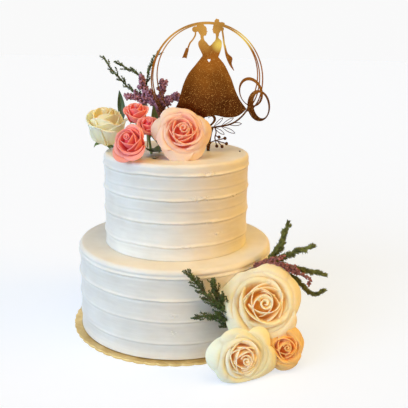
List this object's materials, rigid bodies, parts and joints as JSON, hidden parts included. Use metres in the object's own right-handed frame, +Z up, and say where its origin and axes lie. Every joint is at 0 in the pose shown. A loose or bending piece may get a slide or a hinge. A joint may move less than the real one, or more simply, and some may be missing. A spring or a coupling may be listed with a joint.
{
  "type": "tiered wedding cake",
  "caption": "Two-tier buttercream wedding cake on a scalloped gold card, with a cut-out couple topper in a hoop and clusters of fresh roses, heather and greenery.",
  "frame": {"origin": "centre of the card's underside, on the table", "axes": "+Z up along the tiers' axis; the front of the cake, which the topper and the roses face, looks along -Y; +X is to the right from the front"},
  "size_m": [0.3252, 0.3126, 0.3944],
  "materials": {
    "gold_card": "foil-covered card, satin gold",
    "buttercream": "ivory-white buttercream, scraped, softly shining",
    "rose_gold_sheet": "mirror rose-gold sheet with fine glitter",
    "cream_petal": "cream rose petals, velvety",
    "apricot_petal": "apricot rose petals, velvety",
    "peach_petal": "peach rose petals, paler outside, velvety",
    "pink_petal": "coral-pink rose petals, velvety",
    "leaf_green": "matt dark green leaves",
    "olive_stem": "matt olive-green needles on brown stems",
    "heather_floret": "matt dusky-pink florets"
  },
  "bodies": {
    "root": {"cake_board": "gold_card", "lower_tier": "buttercream", "upper_tier": "buttercream", "topper": "rose_gold_sheet", "rose_cream_large": "cream_petal", "rose_cream_low": "cream_petal", "rose_apricot": "apricot_petal", "rose_peach": "peach_petal", "rose_cream_top": "cream_petal", "rose_pink_front": "pink_petal", "rose_pink_upper": "pink_petal", "rose_pink_middle": "pink_petal", "greenery_top": "leaf_green", "greenery_front": "leaf_green", "greenery_side": "olive_stem", "heather_top": "heather_floret", "heather_side": "heather_floret", "leaf_pointed": "leaf_green", "leaves_rose": "leaf_green"}
  },
  "joints": []
}
